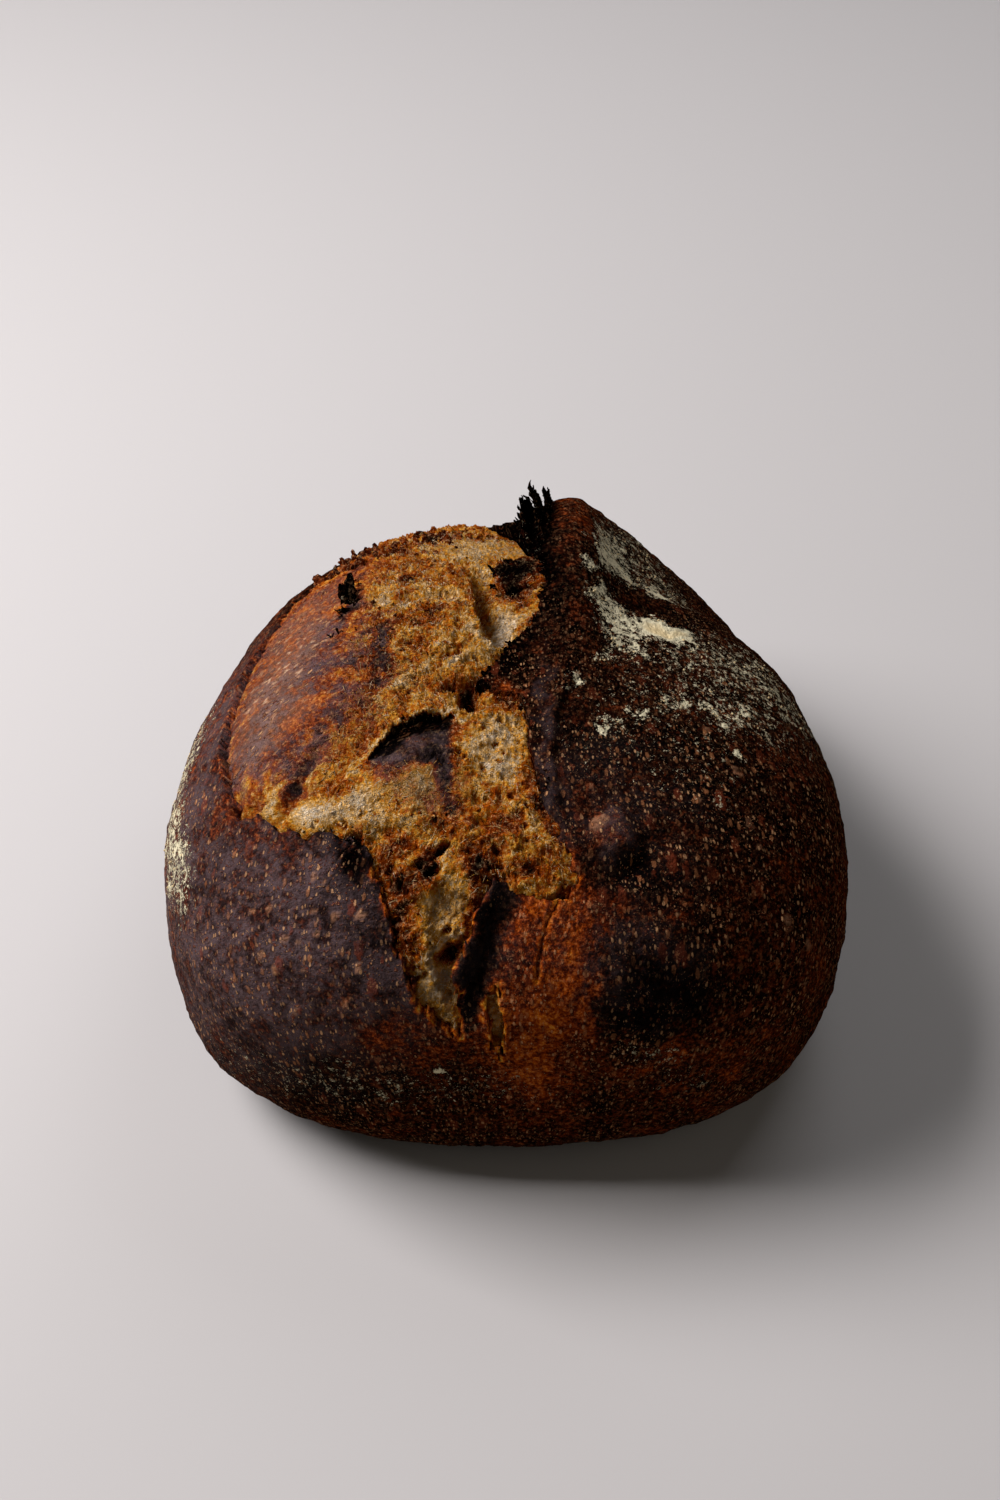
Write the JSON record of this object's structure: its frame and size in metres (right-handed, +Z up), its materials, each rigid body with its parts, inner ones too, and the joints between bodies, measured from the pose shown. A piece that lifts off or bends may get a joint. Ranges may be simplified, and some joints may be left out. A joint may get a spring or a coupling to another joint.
{
  "type": "sourdough loaf",
  "caption": "Round, tall, uncut hearth loaf of sourdough, scored crosswise, with a burst bloom of torn crumb, a charred ear and a dusting of flour.",
  "frame": {"origin": "under the middle of the loaf's box, on the plane of its flat base", "axes": "+X to the loaf's right, the side of the high ear; +Y to its back, along its longest extent; +Z up, out of the base, along its shortest extent"},
  "size_m": [0.2362, 0.2532, 0.149],
  "materials": {
    "crust": "satin",
    "crumb": "matte",
    "flour": "matte"
  },
  "bodies": {
    "root": {"loaf": "crust"}
  },
  "joints": []
}
